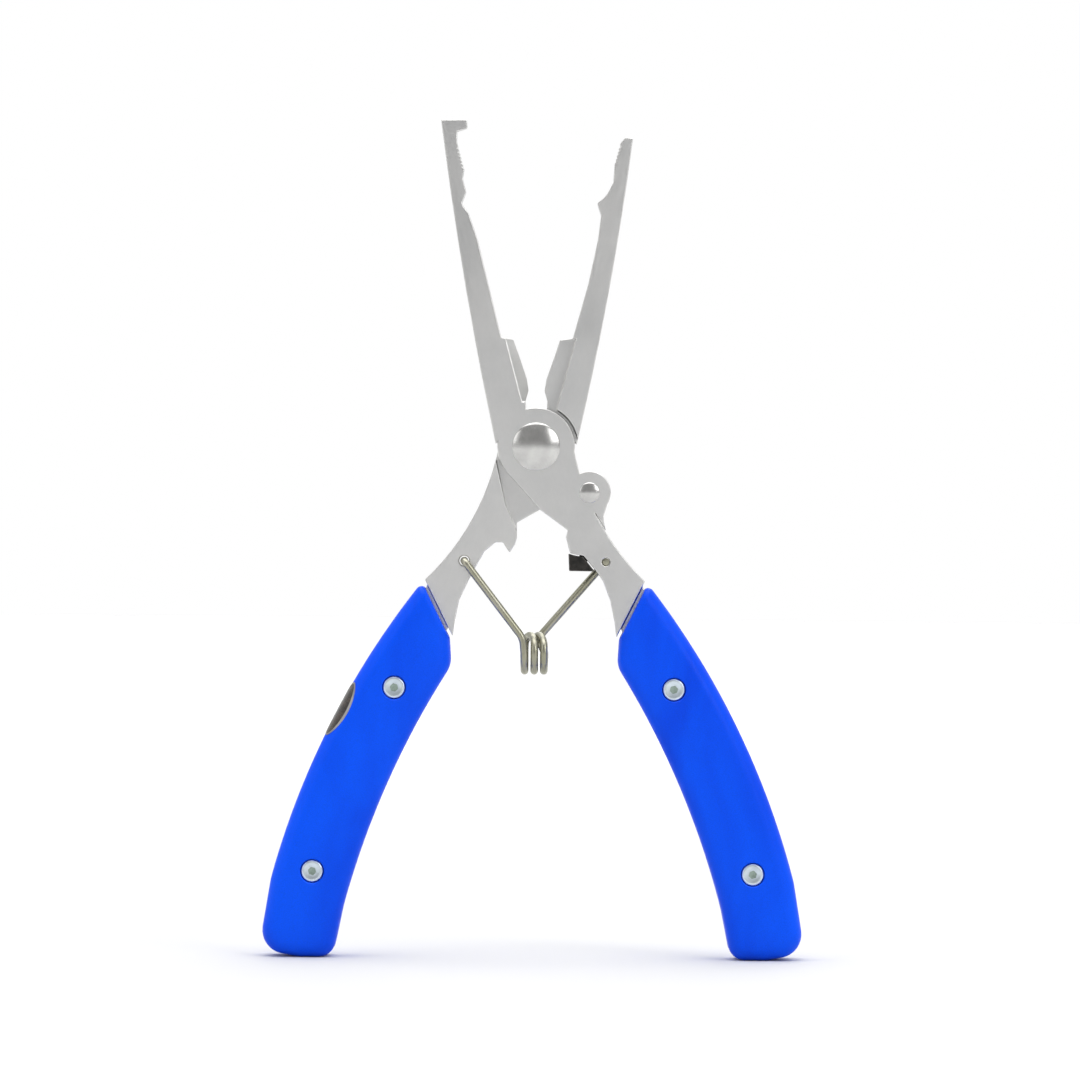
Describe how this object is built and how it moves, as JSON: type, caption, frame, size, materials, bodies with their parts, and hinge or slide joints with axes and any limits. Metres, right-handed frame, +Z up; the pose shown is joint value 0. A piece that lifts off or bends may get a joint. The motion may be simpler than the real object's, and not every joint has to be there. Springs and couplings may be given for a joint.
{
  "type": "fishing pliers",
  "caption": "Long-nose fishing pliers with split-ring tooth, line cutter, wire return spring, lock lever and curved plastic grips, standing open.",
  "frame": {"origin": "on the ground under the pivot, midway between the two handle ends, tool fully open", "axes": "+X to the right seen from the front, +Y to the back along the pivot, +Z up towards the jaws"},
  "size_m": [0.1264, 0.015, 0.1966],
  "materials": {
    "steel": "satin, lightly brushed along the jaws",
    "polished": "polished",
    "black": "black oxide",
    "spring_wire": "drawn wire with a warm tint",
    "grip": "smooth moulded blue, slightly glossy",
    "fastener": "bright turned",
    "badge": "blank dark inlay"
  },
  "bodies": {
    "front": {"front_half": "steel", "pivot_bolt": "polished", "pivot_washer": "steel", "pivot_nut": "polished", "lock_rivet": "polished", "right_grip_front": "grip", "right_grip_back": "grip", "right_upper_screw": "fastener", "right_upper_nut": "fastener", "right_lower_screw": "fastener", "right_lower_nut": "fastener"},
    "back": {"back_half": "steel", "left_grip_front": "grip", "left_grip_back": "grip", "left_badge": "badge", "left_upper_screw": "fastener", "left_upper_nut": "fastener", "left_lower_screw": "fastener", "left_lower_nut": "fastener"},
    "lever": {"lock_lever": "black"},
    "spring_right": {"spring_right_arm": "spring_wire"},
    "spring_middle": {"spring_coil": "spring_wire"},
    "spring_left": {"spring_left_arm": "spring_wire"}
  },
  "joints": [
    {"name": "pivot", "type": "hinge", "parent": "front", "child": "back", "pos_m": [0, 0, 0.12], "axis": [0, -1, 0], "range_deg": [0, 30], "stiffness_Nm_per_rad": 0.8, "springref_deg": -11.46},
    {"name": "lock", "type": "hinge", "parent": "front", "child": "lever", "pos_m": [0.0126, 0, 0.1093], "axis": [0, 1, 0], "range_deg": [0, 12]},
    {"name": "spring_anchor", "type": "hinge", "parent": "front", "child": "spring_right", "pos_m": [0.01663, 0.004, 0.09309], "axis": [0, -1, 0], "range_deg": [-0.5, 36.77]},
    {"name": "spring_right_bend", "type": "hinge", "parent": "spring_right", "child": "spring_middle", "pos_m": [0.0024, 0.00415, 0.075], "axis": [0, -1, 0], "range_deg": [-21.77, 0.5]},
    {"name": "spring_left_bend", "type": "hinge", "parent": "spring_middle", "child": "spring_left", "pos_m": [-0.0024, -0.00415, 0.075], "axis": [0, -1, 0], "range_deg": [-21.77, 0.5]}
  ],
  "couplings": [
    {"joint": "spring_anchor", "follows": "pivot", "ratio": 1.2091},
    {"joint": "spring_right_bend", "follows": "pivot", "ratio": -0.7091},
    {"joint": "spring_left_bend", "follows": "pivot", "ratio": -0.7091}
  ]
}
